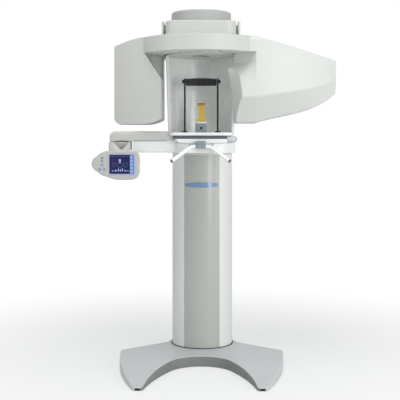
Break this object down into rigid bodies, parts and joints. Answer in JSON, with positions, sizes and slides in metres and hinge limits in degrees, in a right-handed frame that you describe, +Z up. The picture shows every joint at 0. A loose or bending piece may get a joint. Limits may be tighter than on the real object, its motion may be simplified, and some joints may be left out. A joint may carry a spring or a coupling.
{
  "type": "cone-beam CT scanner",
  "caption": "Floor-standing cone-beam head scanner: orbiting tube and detector housings on a lifting column, with a bite rest, handle and touch panel.",
  "frame": {"origin": "on the floor under the axis of the lift column", "axes": "+Z up, -Y towards the patient, +X to the right as seen from the patient's side"},
  "size_m": [1.1425, 0.918, 1.716],
  "materials": {
    "white_paint": "smooth satin white powder coat",
    "white_plastic": "fine matt white moulded plastic",
    "grey_plastic": "matt blue grey moulded plastic",
    "base_paint": "satin pale cool grey paint",
    "steel": "plain steel",
    "alloy": "bare cast and machined aluminium",
    "dark_plastic": "matt black plastic",
    "rubber": "black rubber",
    "yellow_plastic": "slightly glossy orange yellow plastic",
    "lens_blue": "translucent blue light window",
    "screen_glass": "dark display glass",
    "slide_plastic": "ivory sliding plastic",
    "dark_metal": "satin black finish on steel rod",
    "light_grey_plastic": "fine matt warm light grey moulded plastic"
  },
  "bodies": {
    "stand": {"floor_pads": "rubber", "base_plate": "steel", "base_cover": "base_paint", "cable_gland": "dark_plastic", "mast_tube": "steel", "guide_pads": "slide_plastic", "actuator": "alloy", "column_shell": "white_plastic", "column_front_panel": "white_plastic", "column_lens": "lens_blue", "column_top_ring": "white_plastic"},
    "carriage": {"lift_tube": "alloy", "push_rod": "steel", "carriage_bracket": "alloy", "carriage_cover": "white_plastic", "niche_shell": "white_paint", "niche_ceiling": "white_plastic", "hub": "alloy", "bearing_inner": "steel", "ring_gear": "slide_plastic", "head_housing": "white_plastic", "head_side_panels": "light_grey_plastic", "head_cap": "grey_plastic", "tray_base": "white_plastic", "tray_slot_strip": "grey_plastic", "tray_top": "white_plastic", "rod_bushes": "dark_plastic", "bite_holder": "grey_plastic", "bite_block": "yellow_plastic", "handle_clamp": "grey_plastic", "handle_tube": "white_paint", "handle_caps": "grey_plastic", "arm_rail": "light_grey_plastic"},
    "tray_knob": {"tray_knob": "light_grey_plastic"},
    "rods": {"support_rods": "dark_metal"},
    "band": {"forehead_band": "dark_plastic"},
    "knob_left": {"band_knob_left": "dark_plastic"},
    "knob_right": {"band_knob_right": "dark_plastic"},
    "neck": {"panel_neck": "white_plastic"},
    "panel": {"panel_back": "light_grey_plastic", "panel_front": "light_grey_plastic", "panel_bezel": "grey_plastic", "panel_screen": "screen_glass"},
    "gantry": {"bearing_outer": "steel", "gantry_frame": "alloy", "ring_cover": "white_plastic", "ring_floor": "white_plastic", "drive_motor": "alloy", "tube_head": "alloy", "tube_cover_front": "white_plastic", "tube_cover_rear": "white_plastic", "image_detector": "alloy", "detector_cover_front": "white_plastic", "detector_cover_rear": "white_plastic"},
    "pinion": {"drive_pinion": "steel"},
    "button_1": {"panel_button_1": "grey_plastic"},
    "button_2": {"panel_button_2": "grey_plastic"},
    "button_3": {"panel_button_3": "grey_plastic"},
    "button_4": {"panel_button_4": "grey_plastic"},
    "button_5": {"panel_button_5": "grey_plastic"}
  },
  "joints": [
    {"name": "lift_slide", "type": "slide", "parent": "stand", "child": "carriage", "axis": [0, 0, 1], "range_m": [0, 0.55]},
    {"name": "gantry_turn", "type": "hinge", "parent": "carriage", "child": "gantry", "pos_m": [0, -0.35, 1.53], "axis": [0, 0, 1], "range_deg": [-12, 192]},
    {"name": "pinion_spin", "type": "hinge", "parent": "gantry", "child": "pinion", "pos_m": [-0.09122, -0.25878, 1.559], "axis": [0, 0, 1], "range_deg": [-62, 988]},
    {"name": "panel_swivel", "type": "hinge", "parent": "carriage", "child": "neck", "pos_m": [-0.377, -0.424, 1.11], "axis": [0, 0, 1], "range_deg": [-35, 12]},
    {"name": "panel_tilt", "type": "hinge", "parent": "neck", "child": "panel", "pos_m": [-0.377, -0.515, 1.02], "axis": [1, 0, 0], "range_deg": [-12, 20]},
    {"name": "tray_knob_turn", "type": "hinge", "parent": "carriage", "child": "tray_knob", "pos_m": [0.121, -0.481, 1.1095], "axis": [1, 0, 0], "continuous": true},
    {"name": "rods_slide", "type": "slide", "parent": "carriage", "child": "rods", "axis": [0, 0, 1], "range_m": [0, 0.03]},
    {"name": "band_tilt", "type": "hinge", "parent": "rods", "child": "band", "pos_m": [0, -0.362, 1.386], "axis": [1, 0, 0], "range_deg": [-15, 15]},
    {"name": "knob_left_turn", "type": "hinge", "parent": "rods", "child": "knob_left", "pos_m": [-0.0875, -0.362, 1.386], "axis": [1, 0, 0], "continuous": true},
    {"name": "knob_right_turn", "type": "hinge", "parent": "rods", "child": "knob_right", "pos_m": [0.0875, -0.362, 1.386], "axis": [1, 0, 0], "continuous": true},
    {"name": "button_1_press", "type": "slide", "parent": "panel", "child": "button_1", "axis": [0, 1, 0], "range_m": [0, 0.0012], "stiffness_N_per_m": 600, "springref_m": -0.0008},
    {"name": "button_2_press", "type": "slide", "parent": "panel", "child": "button_2", "axis": [0, 1, 0], "range_m": [0, 0.0012], "stiffness_N_per_m": 600, "springref_m": -0.0008},
    {"name": "button_3_press", "type": "slide", "parent": "panel", "child": "button_3", "axis": [0, 1, 0], "range_m": [0, 0.0012], "stiffness_N_per_m": 600, "springref_m": -0.0008},
    {"name": "button_4_press", "type": "slide", "parent": "panel", "child": "button_4", "axis": [0, 1, 0], "range_m": [0, 0.0012], "stiffness_N_per_m": 600, "springref_m": -0.0008},
    {"name": "button_5_press", "type": "slide", "parent": "panel", "child": "button_5", "axis": [0, 1, 0], "range_m": [0, 0.0012], "stiffness_N_per_m": 600, "springref_m": -0.0008}
  ],
  "couplings": [
    {"joint": "pinion_spin", "follows": "gantry_turn", "ratio": 5.1429}
  ]
}
